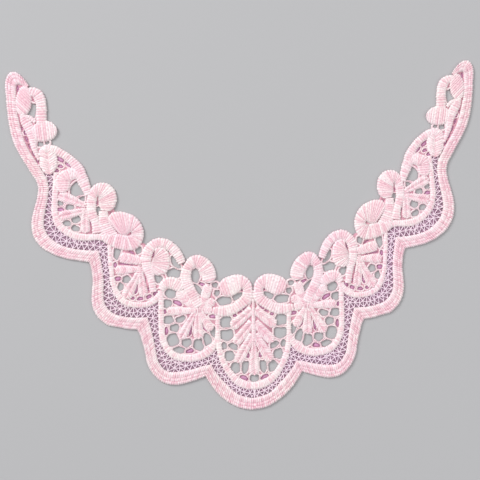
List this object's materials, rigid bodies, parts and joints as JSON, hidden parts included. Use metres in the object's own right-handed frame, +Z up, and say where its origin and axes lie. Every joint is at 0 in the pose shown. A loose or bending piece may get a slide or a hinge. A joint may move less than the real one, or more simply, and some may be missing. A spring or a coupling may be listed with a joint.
{
  "type": "lace_collar",
  "caption": "Pale pink guipure lace neckline collar, lying flat: scalloped stitched border, net ground, satin-stitch palmettes and scrolls, open neck.",
  "frame": {"origin": "middle of the flat underside", "axes": "+X to the right arm as seen from above, +Y up the arms towards the open ends of the neck, +Z up from the surface, out of the lace's face"},
  "size_m": [0.3286, 0.2442, 0.0024],
  "materials": {
    "pink_satin_stitch": "soft satin sheen of smooth embroidery thread",
    "pink_net": "matt twisted thread"
  },
  "bodies": {
    "root": {"border_centre": "pink_satin_stitch", "border_1_L": "pink_satin_stitch", "border_1_R": "pink_satin_stitch", "border_2_L": "pink_satin_stitch", "border_2_R": "pink_satin_stitch", "border_3_L": "pink_satin_stitch", "border_3_R": "pink_satin_stitch", "border_arm_L": "pink_satin_stitch", "border_arm_R": "pink_satin_stitch", "ground_centre": "pink_net", "ground_1_L": "pink_net", "ground_1_R": "pink_net", "ground_2_L": "pink_net", "ground_2_R": "pink_net", "ground_3_L": "pink_net", "ground_3_R": "pink_net", "ground_arm_L": "pink_net", "ground_arm_R": "pink_net", "cord_centre": "pink_satin_stitch", "cord_1_L": "pink_satin_stitch", "cord_1_R": "pink_satin_stitch", "cord_2_L": "pink_satin_stitch", "cord_2_R": "pink_satin_stitch", "cord_3_L": "pink_satin_stitch", "cord_3_R": "pink_satin_stitch", "palmette_centre": "pink_satin_stitch", "palmette_1_L": "pink_satin_stitch", "palmette_1_R": "pink_satin_stitch", "palmette_2_L": "pink_satin_stitch", "palmette_2_R": "pink_satin_stitch", "palmette_3_L": "pink_satin_stitch", "palmette_3_R": "pink_satin_stitch", "scroll_0_L": "pink_satin_stitch", "scroll_0_R": "pink_satin_stitch", "scroll_1_L": "pink_satin_stitch", "scroll_1_R": "pink_satin_stitch", "scroll_2_L": "pink_satin_stitch", "scroll_2_R": "pink_satin_stitch", "scroll_3_L": "pink_satin_stitch", "scroll_3_R": "pink_satin_stitch", "scroll_4_L": "pink_satin_stitch", "scroll_4_R": "pink_satin_stitch", "scroll_5_L": "pink_satin_stitch", "scroll_5_R": "pink_satin_stitch", "scroll_6_L": "pink_satin_stitch", "scroll_6_R": "pink_satin_stitch", "scroll_7_L": "pink_satin_stitch", "scroll_7_R": "pink_satin_stitch", "cap_1_L": "pink_satin_stitch", "cap_1_R": "pink_satin_stitch", "leaf_5_upper_L": "pink_satin_stitch", "leaf_5_upper_R": "pink_satin_stitch", "leaf_5_lower_L": "pink_satin_stitch", "leaf_5_lower_R": "pink_satin_stitch", "leaf_7_L": "pink_satin_stitch", "leaf_7_R": "pink_satin_stitch"}
  },
  "joints": []
}
